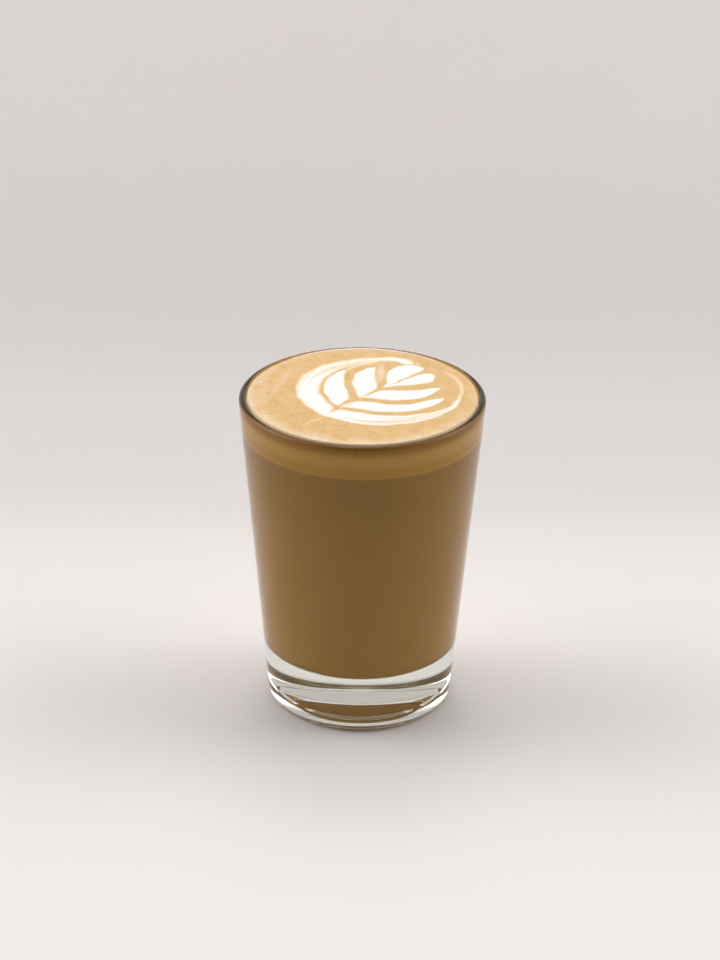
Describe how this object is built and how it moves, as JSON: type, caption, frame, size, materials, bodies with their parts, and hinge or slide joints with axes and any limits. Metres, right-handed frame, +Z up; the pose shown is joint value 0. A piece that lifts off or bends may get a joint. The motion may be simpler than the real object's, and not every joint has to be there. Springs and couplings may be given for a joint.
{
  "type": "cortado in a glass",
  "caption": "Cortado in a plain conical glass with a heavy clear base, filled to the lip with milky coffee, foam and a crema top with a leaf pattern.",
  "frame": {"origin": "on the table, under the middle of the glass", "axes": "+Z up along the axis of the glass, towards the surface of the drink; -Y faces the picture's camera"},
  "size_m": [0.0638, 0.0638, 0.0865],
  "materials": {
    "glass": "clear, smooth, faintly green where it is thick",
    "coffee": "milky coffee, an opaque liquid behind glass",
    "foam": "milk foam stained by coffee, fine bubbles",
    "crema": "tan crema with a white poured-milk leaf, soft satin"
  },
  "bodies": {
    "root": {"glass": "glass", "coffee": "coffee", "foam": "foam", "crema": "crema"}
  },
  "joints": []
}
